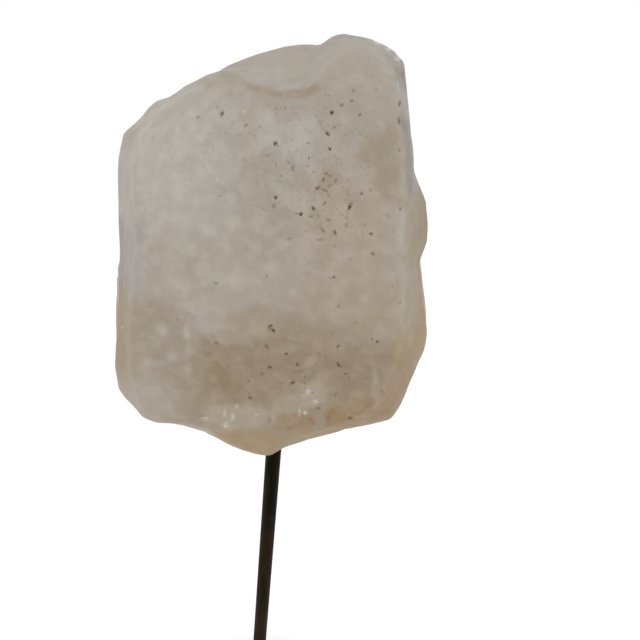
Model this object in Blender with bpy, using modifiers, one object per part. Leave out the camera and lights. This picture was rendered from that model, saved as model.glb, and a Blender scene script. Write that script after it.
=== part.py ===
"""A block of milky quartz held up on a plain rod stand.

The stone is one solid, drilled from below for the rod. The rod stands in a round base plate.
Metres, +Z up, origin under the middle of the base. The stone shows its face towards -Y.
"""

import math

import bmesh
import bpy
import numpy as np
from mathutils import Vector, noise

MM = 0.001
GAP = 0.3 * MM  # clearance between pieces that fit into each other

# The stand
ROD_DIAMETER = 6.35 * MM  # quarter-inch round bar
ROD_FOOT = 3.0 * MM  # height of the rod's lower end, inside the base
ROD_TOP = 260.0 * MM  # height of its upper end, inside the stone
ROD_SIDES = 32
ROD_CHAMFER = 0.5 * MM
BASE_DIAMETER = 110.0 * MM
BASE_THICKNESS = 12.0 * MM
BASE_CHAMFER = 1.5 * MM
BASE_SIDES = 72

# The stone
SOCKET_START = 200.0 * MM  # below the stone, where the drill for the rod starts
STONE_CENTRE = Vector((-5.7, 0.0, 307.2)) * MM
BLOCK_HALF = Vector((54.0, 34.0, 72.0)) * MM  # the block that the stone is shaped from
BLOCK_CELLS = (26, 18, 36)  # along X, Y and Z
# The outline faces a point in front of the stone and above it, and the sides draw in towards that point.
FACED_POINT = Vector((13.4, -200.9, 389.7)) * MM
FACING_DOWN = math.radians(28.4)
OUTLINE_TURN = math.radians(6.0)
# The outline in millimetres from the stone's centre, clockwise from the middle of the left side.
OUTLINE = {
    "left side": [(-53, -15), (-53, 31)],
    "upper left corner": [(-51.5, 39.5), (-46, 45)],
    "first chip": [(-43, 49), (-40, 51.5), (-36, 52.5)],
    "second chip": [(-32, 55), (-29, 57), (-22, 60), (-19, 60.5)],
    "crown": [(-16, 62.5), (-5, 67), (5, 70), (11, 70.5), (17, 70)],
    "horn": [(20, 73), (22, 74), (25, 74.5), (35, 72), (40, 69.5), (45, 66)],
    "upper right side": [(46, 64), (48, 45), (50, 26)],
    "right bulge": [(54, 16), (54.5, 8), (54, 2), (51, -5)],
    "lower right bulge": [(52, -15), (54, -30), (53, -36), (51, -40)],
    "lower right edge": [(44, -56), (41, -59.5)],
    "right underside": [(35, -61), (25, -63), (5, -69)],
    "foot": [(2, -70.5), (0, -72), (-3, -72), (-10, -70), (-15, -68)],
    "left underside": [(-23, -63), (-30, -61.5), (-35, -61)],
    "lower left corner": [(-40, -61), (-45, -59), (-51, -52), (-53, -49), (-54.5, -41)],
}
OUTLINE_STEPS = 720
EDGE_SOFTNESS = 1.2  # degrees over which the outline's corners are rounded
FORM_SOFTNESS = 14.0  # degrees over which its chips and bulges even out, away from the rim
CHIP_DEPTH = 16.0 * MM  # how far the rim's chips run towards the face and the back
BELT_LEAN = math.radians(12.0)  # the widest section leans back by this much
FACE_BULGE = 38.0 * MM
BACK_BULGE = 42.0 * MM
SQUARENESS = 3.2

# Flat faces: azimuth from the front towards +X, elevation, and distance from the stone's centre.
FACETS = {
    "face": (3, 9, 30.5),
    "low face": (-4, -12, 34.5),
    "left strip": (-63, 6, 48.8),
    "right strip": (72, 14, 53.5),
    "right side": (64, 6, 52.3),
    "lower right": (58, -14, 63),
    "top": (165, 66, 71.8),
    "back upper": (171, 14, 36),
    "back lower": (189, -17, 35),
    "back right": (128, 8, 47),
    "back right low": (138, -30, 54),
    "back left": (228, 4, 46.5),
    "back left low": (212, -38, 56),
    "back top": (202, 40, 53),
    "back top right": (152, 36, 62.3),
    "back low": (166, -52, 61),
    "under": (120, -70, 72),
}
FACET_ROUNDING = 1.8 * MM
# The crown falls away in a ledge from the rim towards the face: how far, at angles around the outline.
CROWN_DROP = {67: 0.0, 70.5: 5.0, 74: 12.5, 78.5: 17.5, 84: 17.0, 90: 14.5, 97: 9.5, 108: 0.0}
CROWN_DEPTH = 30.0 * MM  # from the rim to the ledge's front edge
CROWN_CURVE = 0.35  # how hollow the ledge is
# The flanks fall in straight from the rim to the front face: how far, at angles around the outline.
FLANK_DROP = {
    0: 7.5, 8: 9.5, 14: 8.5, 25: 5.0, 48: 3.0, 60: 3.0, 67: 0.0,
    108: 0.0, 116: 2.0, 140: 5.0, 155: 7.0, 180: 8.0, 200: 7.5,
    215: 9.0, 232: 9.0, 242: 5.0, 250: 6.0, 262: 9.5, 276: 9.5,
    288: 7.0, 298: 6.0, 310: 7.0, 324: 10.0, 336: 9.5, 350: 8.5, 360: 7.5,
}
FLANK_DEPTH = 28.0 * MM
# Shell-shaped hollows where flakes came away: azimuth, elevation, radius and depth.
SCOOPS = {
    "lower left hollow": (-34, -50, 75, 2.2),
    "lower right hollow": (40, -40, 80, 2.2),
    "right side": (104, 12, 70, 3.0),
    "right side low": (112, -34, 60, 2.5),
    "back upper": (206, 26, 85, 3.5),
    "back lower": (152, -34, 80, 3.5),
    "left back": (252, -12, 70, 3.0),
    "left back top": (238, 44, 60, 2.5),
    "top": (140, 66, 60, 2.5),
}
SCOOP_ROUNDING = 1.0 * MM
WAVES = 0.7 * MM  # gentle unevenness of the faces
WAVE_LENGTH = 26.0 * MM
CELL_SAG = 0.3 * MM  # the mesh stands proud by this, because its flat cells cut across the curves


def unit(azimuth, elevation):
    """Unit vector of a direction in degrees: azimuth 0 is -Y, 90 is +X."""
    across, up = math.radians(azimuth), math.radians(elevation)
    return Vector((math.sin(across) * math.cos(up), -math.cos(across) * math.cos(up), math.sin(up)))


def facing_axes():
    """Right, up and outward axes of the plane that the outline is drawn in."""
    outward = Vector((0.0, -math.cos(FACING_DOWN), math.sin(FACING_DOWN)))
    level = Vector((1.0, 0.0, 0.0))
    rise = outward.cross(level)
    right = level * math.cos(OUTLINE_TURN) + rise * math.sin(OUTLINE_TURN)
    return right, outward.cross(right), outward


def outline_reach(softness):
    """The outline's distance from its centre at OUTLINE_STEPS angles, its corners softened."""
    corners = [point for stretch in OUTLINE.values() for point in stretch]
    spots = []
    for start, end in zip(corners, corners[1:] + corners[:1]):
        spots += [Vector(start).lerp(Vector(end), step / 16) for step in range(16)]
    angle = np.array([math.atan2(spot.y, spot.x) for spot in spots])
    reach = np.array([spot.length for spot in spots]) * MM
    order = np.argsort(angle)
    turn = np.arange(OUTLINE_STEPS) * 2 * math.pi / OUTLINE_STEPS
    exact = np.interp(turn, angle[order], reach[order], period=2 * math.pi)
    spread = softness * OUTLINE_STEPS / 360
    offsets = np.arange(-int(3 * spread) - 1, int(3 * spread) + 2)
    weights = np.exp(-((offsets / spread) ** 2) / 2)
    shifted = [weight * np.roll(exact, offset) for weight, offset in zip(weights, offsets)]
    return np.sum(shifted, axis=0) / weights.sum()


def at_angle(table, angle):
    turn = np.arange(OUTLINE_STEPS) * 2 * math.pi / OUTLINE_STEPS
    return np.interp(angle, turn, table, period=2 * math.pi)


def smooth_max(a, b, rounding):
    """The larger of two, with the edge between them rounded."""
    overlap = np.maximum(rounding - np.abs(a - b), 0.0)
    return np.maximum(a, b) + overlap * overlap / (4 * rounding)


def make_body():
    """A function that tells how far points are outside the unchipped stone: negative inside it."""
    right, up, outward = (np.array(axis) for axis in facing_axes())
    faced, centre = np.array(FACED_POINT), np.array(STONE_CENTRE)
    centre_away = (faced - centre) @ outward
    centre_right = (centre - faced) @ right
    centre_up = (centre - faced) @ up
    belt_normal = np.array((0.0, -math.cos(BELT_LEAN), math.sin(BELT_LEAN)))
    crisp, soft = outline_reach(EDGE_SOFTNESS), outline_reach(FORM_SOFTNESS)
    facets = [(np.array(unit(az, el)), reach * MM) for az, el, reach in FACETS.values()]

    def outside(points):
        seen = points - faced
        draw_in = centre_away / -(seen @ outward)
        across = (seen @ right) * draw_in - centre_right
        along = (seen @ up) * draw_in - centre_up
        angle = np.arctan2(along, across)
        forward = (points - centre) @ belt_normal
        chipped = np.exp(-((forward / CHIP_DEPTH) ** 2))
        form, detail = at_angle(soft, angle), at_angle(crisp, angle)
        rim = form + (detail - form) * chipped
        bulge = np.where(forward > 0, FACE_BULGE, BACK_BULGE)
        share = (np.hypot(across, along) / rim) ** SQUARENESS + (np.abs(forward) / bulge) ** SQUARENESS
        gap = (share ** (1 / SQUARENESS) - 1) * 50 * MM
        for normal, reach in facets:
            gap = smooth_max(gap, (points - centre) @ normal - reach, FACET_ROUNDING)
        crown = np.interp(np.degrees(angle), list(CROWN_DROP), list(CROWN_DROP.values())) * MM
        along_ledge = np.clip(forward / CROWN_DEPTH, 0.0, 1.2)
        sunk = crown * along_ledge * (1 + CROWN_CURVE - CROWN_CURVE * along_ledge)
        gap = smooth_max(gap, np.hypot(across, along) - rim + sunk, SCOOP_ROUNDING)
        flank = np.interp(np.degrees(angle) % 360, list(FLANK_DROP), list(FLANK_DROP.values())) * MM
        sunk = flank * np.clip(forward / FLANK_DEPTH, 0.0, 1.4)
        return smooth_max(gap, np.hypot(across, along) - rim + sunk, SCOOP_ROUNDING)

    return outside


def make_stone_shape():
    """The same for the stone with its hollows."""
    body = make_body()
    directions = np.array([unit(az, el) for az, el, _, _ in SCOOPS.values()])
    places = surface_points(directions, body)
    steps = np.eye(3) * 0.5 * MM
    slopes = np.stack([body(places + step) - body(places - step) for step in steps], axis=1)
    normals = slopes / np.linalg.norm(slopes, axis=1)[:, None]
    scoops = []
    for place, normal, (_, _, radius, depth) in zip(places, normals, SCOOPS.values()):
        scoops.append((place + normal * (radius - depth) * MM, radius * MM))

    def outside(points):
        gap = body(points)
        for middle, radius in scoops:
            gap = smooth_max(gap, radius - np.linalg.norm(points - middle, axis=1), SCOOP_ROUNDING)
        return gap

    return outside


def surface_points(directions, outside, halvings=26):
    """Where the rays from the stone's centre leave it."""
    centre = np.array(STONE_CENTRE)
    near, far = np.zeros(len(directions)), np.full(len(directions), 0.14)
    for _ in range(halvings):
        middle = (near + far) / 2
        inside = outside(centre + directions * middle[:, None]) < 0
        near, far = np.where(inside, middle, near), np.where(inside, far, middle)
    return centre + directions * near[:, None]


def waved(places, directions):
    """The same places moved in and out a little, along their directions."""
    swell = [noise.noise(Vector(place) / WAVE_LENGTH) for place in places]
    return places + directions * (np.array(swell)[:, None] * WAVES + CELL_SAG)


def gridded_block(half, cells):
    """A closed box whose sides are cut into even cells."""
    block = bmesh.new()
    bmesh.ops.create_cube(block, size=2.0)
    for axis, count in enumerate(cells):
        along = [
            edge for edge in block.edges
            if abs((edge.verts[0].co - edge.verts[1].co)[axis]) > 1.9
        ]
        bmesh.ops.subdivide_edges(block, edges=along, cuts=count - 1, use_grid_fill=True)
    bmesh.ops.scale(block, vec=half, verts=block.verts)
    return block


def material(name, colour, roughness, metallic=0.0):
    made = bpy.data.materials.new(name)
    made.use_nodes = True
    shader = made.node_tree.nodes["Principled BSDF"]
    shader.inputs["Base Color"].default_value = (*colour, 1.0)
    shader.inputs["Roughness"].default_value = roughness
    shader.inputs["Metallic"].default_value = metallic
    return made


def add_object(name, mesh, collection, finish=None):
    made = bpy.data.objects.new(name, mesh)
    collection.objects.link(made)
    if finish:
        mesh.materials.append(finish)
    return made


def new_collection(name):
    made = bpy.data.collections.new(name)
    bpy.context.scene.collection.children.link(made)
    return made


def cylinder(name, diameter, low, high, sides, collection, finish=None):
    """An upright cylinder on the Z axis from height low to height high."""
    shape = bmesh.new()
    radius = diameter / 2
    bmesh.ops.create_cone(
        shape, cap_ends=True, segments=sides, radius1=radius, radius2=radius, depth=high - low
    )
    mesh = bpy.data.meshes.new(name)
    shape.to_mesh(mesh)
    shape.free()
    mesh.shade_smooth()
    mesh.set_sharp_from_angle(angle=math.radians(40))
    made = add_object(name, mesh, collection, finish)
    made.location.z = (low + high) / 2
    return made


def drill(piece, name, diameter, low, high, sides, cutters):
    """Cuts an upright round hole on the Z axis out of a piece."""
    bit = cylinder(name, diameter, low, high, sides, cutters)
    bit.hide_render = True
    bit.display_type = "WIRE"
    cut = piece.modifiers.new(name, "BOOLEAN")
    cut.operation = "DIFFERENCE"
    cut.solver = "EXACT"
    cut.object = bit


def bevel(piece, width):
    chamfer = piece.modifiers.new("chamfer", "BEVEL")
    chamfer.width = width
    chamfer.segments = 1
    chamfer.limit_method = "ANGLE"
    chamfer.angle_limit = math.radians(40)


def make_stone(collection, cutters):
    block = gridded_block(BLOCK_HALF, BLOCK_CELLS)
    directions = np.array([vert.co.normalized() for vert in block.verts])
    places = surface_points(directions, make_stone_shape())
    for vert, place in zip(block.verts, waved(places, directions)):
        vert.co = Vector(place) - STONE_CENTRE
    mesh = bpy.data.meshes.new("crystal")
    block.to_mesh(mesh)
    block.free()
    mesh.shade_smooth()
    quartz = material("milky_quartz", (0.40, 0.35, 0.30), 0.45)
    stone = add_object("crystal", mesh, collection, quartz)
    stone.location = STONE_CENTRE
    drill(stone, "rod_socket", ROD_DIAMETER + 2 * GAP, SOCKET_START, ROD_TOP + GAP, 24, cutters)


def make_rod(collection):
    bronze = material("rod_bronze", (0.020, 0.014, 0.009), 0.42, 0.8)
    rod = cylinder("rod", ROD_DIAMETER, ROD_FOOT, ROD_TOP, ROD_SIDES, collection, bronze)
    bevel(rod, ROD_CHAMFER)


def make_base(collection, cutters):
    bronze = material("base_bronze", (0.022, 0.016, 0.010), 0.48, 0.8)
    base = cylinder("base", BASE_DIAMETER, 0.0, BASE_THICKNESS, BASE_SIDES, collection, bronze)
    bevel(base, BASE_CHAMFER)
    drill(base, "base_socket", ROD_DIAMETER + 2 * GAP, ROD_FOOT - GAP, 2 * BASE_THICKNESS, 32, cutters)


def main():
    for old in list(bpy.data.objects):
        bpy.data.objects.remove(old)
    parts = new_collection("quartz_crystal_on_stand")
    cutters = new_collection("cutters")
    make_stone(parts, cutters)
    make_rod(parts)
    make_base(parts, cutters)


main()
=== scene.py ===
import math

import bmesh
import bpy
import numpy as np
from mathutils import Matrix, Vector, noise


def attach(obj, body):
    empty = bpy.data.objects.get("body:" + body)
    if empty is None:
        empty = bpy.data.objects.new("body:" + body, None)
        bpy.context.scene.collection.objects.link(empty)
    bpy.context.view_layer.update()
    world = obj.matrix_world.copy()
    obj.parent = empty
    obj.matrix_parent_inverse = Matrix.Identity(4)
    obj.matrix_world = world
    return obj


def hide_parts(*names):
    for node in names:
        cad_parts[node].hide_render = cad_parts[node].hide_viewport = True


mm = 0.001

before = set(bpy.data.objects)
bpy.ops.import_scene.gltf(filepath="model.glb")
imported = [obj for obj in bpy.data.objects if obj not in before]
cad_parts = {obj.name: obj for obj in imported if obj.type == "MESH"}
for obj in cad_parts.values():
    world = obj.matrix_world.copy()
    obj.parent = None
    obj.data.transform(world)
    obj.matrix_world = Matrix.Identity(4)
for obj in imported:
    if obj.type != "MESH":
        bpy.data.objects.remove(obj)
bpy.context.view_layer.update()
print("frame loaded")


# The same form as the solid: an outline seen from a point in front, flat faces, and hollows.
stoneForm = {
    "centre": Vector((-5.7, 0.0, 307.2)) * mm,
    "facedPoint": Vector((13.4, -200.9, 389.7)) * mm,
    "facingDown": math.radians(28.4),
    "outlineTurn": math.radians(6.0),
    "outlineCuts": 16,           # between two points of the outline
    "outlineSteps": 1440,
    "edgeSoftness": 0.7,         # degrees
    "formSoftness": 14.0,
    "chipDepth": 16.0 * mm,
    "beltLean": math.radians(12.0),
    "faceBulge": 38.0 * mm,
    "backBulge": 42.0 * mm,
    "squareness": 3.2,
    "bodyScale": 50,             # mm
    "frontEdge": (6, 0.7),       # how fast the front turns into the back, and its value at the widest section
    "farthest": 0.14,            # metres from the centre that no surface passes
    "faceSearch": (0.10, 0.30, 0.25 * mm),  # metres from the faced point: start, end, step
    "slopeStep": 0.5 * mm,
    "facetRounding": 1.3 * mm,
    "scoopRounding": 0.8 * mm,
    "crownDepth": 30.0 * mm,
    "crownEnd": 1.2,             # depths over which the crown goes on falling in
    "crownCurve": 0.35,
    "flankDepth": 28.0 * mm,
    "flankEnd": 1.4,
    "flankRounding": 0.8 * mm,
    "waves": 0.7 * mm,
    "waveLength": 26.0 * mm,
}
# Across and up from the stone's centre in millimetres, clockwise from the left side.
stoneOutline = [
    (-53, -15), (-53, 31), (-51.5, 39.5), (-46, 45), (-43, 49), (-40, 51.5), (-36, 52.5), (-32, 55),
    (-29, 57), (-22, 60), (-19, 60.5), (-16, 62.5), (-5, 67), (5, 70), (11, 70.5), (17, 70), (20, 73),
    (22, 74), (25, 74.5), (35, 72), (40, 69.5), (45, 66), (46, 64), (48, 45), (50, 26), (54, 16),
    (54.5, 8), (54, 2), (51, -5), (52, -15), (54, -30), (53, -36), (51, -40), (44, -56), (41, -59.5),
    (35, -61), (25, -63), (5, -69), (2, -70.5), (0, -72), (-3, -72), (-10, -70), (-15, -68), (-23, -63),
    (-30, -61.5), (-35, -61), (-40, -61), (-45, -59), (-51, -52), (-53, -49), (-54.5, -41),
]
# Azimuth from the front towards +X, elevation, distance from the centre in millimetres.
stoneFacets = {
    "face": (3, 9, 30.5),
    "lowFace": (-4, -12, 34.5),
    "leftStrip": (-63, 6, 48.8),
    "rightStrip": (72, 14, 53.5),
    "rightSide": (64, 6, 52.3),
    "lowerRight": (58, -14, 63),
    "top": (165, 66, 71.8),
    "backUpper": (171, 14, 36),
    "backLower": (189, -17, 35),
    "backRight": (128, 8, 47),
    "backRightLow": (138, -30, 54),
    "backLeft": (228, 4, 46.5),
    "backLeftLow": (212, -38, 56),
    "backTop": (202, 40, 53),
    "backTopRight": (152, 36, 62.3),
    "backLow": (166, -52, 61),
    "under": (120, -70, 72),
}
# How far the crown falls in from the rim, at angles around the outline in degrees: millimetres.
crownDrop = {67: 0.0, 70.5: 5.0, 74: 12.5, 78.5: 17.5, 84: 17.0, 90: 14.5, 97: 9.5, 108: 0.0}
# The same for the straight flanks between the rim and the front face.
flankDrop = {
    0: 7.5, 8: 9.5, 14: 8.5, 25: 5.0, 48: 3.0, 60: 3.0, 67: 0.0, 108: 0.0, 116: 2.0, 140: 5.0, 155: 7.0,
    180: 8.0, 200: 7.5, 215: 9.0, 232: 9.0, 242: 5.0, 250: 6.0, 262: 9.5, 276: 9.5, 288: 7.0, 298: 6.0,
    310: 7.0, 324: 10.0, 336: 9.5, 350: 8.5, 360: 7.5,
}
# Azimuth, elevation, radius and depth in millimetres.
stoneScoops = {
    "lowerLeftHollow": (-34, -50, 75, 2.2),
    "lowerRightHollow": (40, -40, 80, 2.2),
    "rightSide": (104, 12, 70, 3.0),
    "rightSideLow": (112, -34, 60, 2.5),
    "backUpper": (206, 26, 85, 3.5),
    "backLower": (152, -34, 80, 3.5),
    "leftBack": (252, -12, 70, 3.0),
    "leftBackTop": (238, 44, 60, 2.5),
    "top": (140, 66, 60, 2.5),
}

centre = np.array(stoneForm["centre"])
faced = np.array(stoneForm["facedPoint"])


def direction(azimuth, elevation):
    across, up = math.radians(azimuth), math.radians(elevation)
    return np.array((math.sin(across) * math.cos(up), -math.cos(across) * math.cos(up), math.sin(up)))


def facingAxes():
    down, turn = stoneForm["facingDown"], stoneForm["outlineTurn"]
    outward = Vector((0.0, -math.cos(down), math.sin(down)))
    level = Vector((1.0, 0.0, 0.0))
    rise = outward.cross(level)
    right = level * math.cos(turn) + rise * math.sin(turn)
    return np.array(right), np.array(outward.cross(right)), np.array(outward)


rightAxis, upAxis, outwardAxis = facingAxes()
beltAxis = np.array((0.0, -math.cos(stoneForm["beltLean"]), math.sin(stoneForm["beltLean"])))
centreAway = (faced - centre) @ outwardAxis


def facingPlace(points):
    # across and up in the plane that the outline is drawn in, measured from the stone's centre
    seen = points - faced
    drawIn = centreAway / -(seen @ outwardAxis)
    across = (seen @ rightAxis) * drawIn - (centre - faced) @ rightAxis
    up = (seen @ upAxis) * drawIn - (centre - faced) @ upAxis
    return across, up


def outlineReach(softness):
    steps, cuts = stoneForm["outlineSteps"], stoneForm["outlineCuts"]
    spots = []
    for start, end in zip(stoneOutline, stoneOutline[1:] + stoneOutline[:1]):
        spots += [Vector(start).lerp(Vector(end), step / cuts) for step in range(cuts)]
    angle = np.array([math.atan2(spot.y, spot.x) for spot in spots])
    reach = np.array([spot.length for spot in spots]) * mm
    order = np.argsort(angle)
    turn = np.arange(steps) * 2 * math.pi / steps
    exact = np.interp(turn, angle[order], reach[order], period=2 * math.pi)
    spread = softness * steps / 360
    offsets = np.arange(-int(3 * spread) - 1, int(3 * spread) + 2)
    weights = np.exp(-((offsets / spread) ** 2) / 2)
    return sum(weight * np.roll(exact, offset) for weight, offset in zip(weights, offsets)) / weights.sum()


def atAngle(table, angle):
    turn = np.arange(len(table)) * 2 * math.pi / len(table)
    return np.interp(angle, turn, table, period=2 * math.pi)


def smoothMax(a, b, rounding):
    overlap = np.maximum(rounding - np.abs(a - b), 0.0)
    return np.maximum(a, b) + overlap * overlap / (4 * rounding)


def unit(rows):
    return rows / np.linalg.norm(rows, axis=1)[:, None]


def outwardAt(outside, points, step):
    slopes = [outside(points + axis * step) - outside(points - axis * step) for axis in np.eye(3)]
    return unit(np.stack(slopes, axis=1))


def makeBody():
    crisp, soft = outlineReach(stoneForm["edgeSoftness"]), outlineReach(stoneForm["formSoftness"])
    power = stoneForm["squareness"]
    facets = [(direction(az, el), reach * mm) for az, el, reach in stoneFacets.values()]
    dropAngles, drops = list(crownDrop), list(crownDrop.values())
    flankAngles, flankDrops = list(flankDrop), list(flankDrop.values())

    def outside(points):
        across, up = facingPlace(points)
        angle = np.arctan2(up, across)
        forward = (points - centre) @ beltAxis
        form, detail = atAngle(soft, angle), atAngle(crisp, angle)
        rim = form + (detail - form) * np.exp(-((forward / stoneForm["chipDepth"]) ** 2))
        reach = np.hypot(across, up)
        bulge = np.where(forward > 0, stoneForm["faceBulge"], stoneForm["backBulge"])
        share = (reach / rim) ** power + (np.abs(forward) / bulge) ** power
        gap = (share ** (1 / power) - 1) * stoneForm["bodyScale"] * mm
        for normal, distance in facets:
            gap = smoothMax(gap, (points - centre) @ normal - distance, stoneForm["facetRounding"])
        along = np.clip(forward / stoneForm["crownDepth"], 0.0, stoneForm["crownEnd"])
        curve = stoneForm["crownCurve"]
        sunk = np.interp(np.degrees(angle), dropAngles, drops) * mm * along * (1 + curve - curve * along)
        gap = smoothMax(gap, reach - rim + sunk, stoneForm["scoopRounding"])
        along = np.clip(forward / stoneForm["flankDepth"], 0.0, stoneForm["flankEnd"])
        sunk = np.interp(np.degrees(angle) % 360, flankAngles, flankDrops) * mm * along
        return smoothMax(gap, reach - rim + sunk, stoneForm["flankRounding"])

    return outside


def surfacePoints(directions, outside, halvings=24):
    near, far = np.zeros(len(directions)), np.full(len(directions), stoneForm["farthest"])
    for _ in range(halvings):
        middle = (near + far) / 2
        inside = outside(centre + directions * middle[:, None]) < 0
        near, far = np.where(inside, middle, near), np.where(inside, far, middle)
    return centre + directions * near[:, None]


def makeStoneShape():
    body = makeBody()
    places = surfacePoints(np.array([direction(az, el) for az, el, _, _ in stoneScoops.values()]), body)
    normals = outwardAt(body, places, stoneForm["slopeStep"])
    scoops = []
    for place, normal, (_, _, radius, depth) in zip(places, normals, stoneScoops.values()):
        scoops.append((place + normal * (radius - depth) * mm, radius * mm))

    def outside(points):
        gap = body(points)
        for middle, radius in scoops:
            gap = smoothMax(gap, radius - np.linalg.norm(points - middle, axis=1), stoneForm["scoopRounding"])
        return gap

    return outside


def onFace(across, up, outside):
    # the place on the stone's broad face at that spot of the facing plane, both in millimetres
    target = centre + rightAxis * across * mm + upAxis * up * mm
    ray = target - faced
    ray /= np.linalg.norm(ray)
    travel = np.arange(*stoneForm["faceSearch"])
    gaps = outside(faced + ray * travel[:, None])
    inside = np.nonzero(gaps < 0)[0]
    if not len(inside):
        return None
    return faced + ray * travel[inside[0]]


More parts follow.
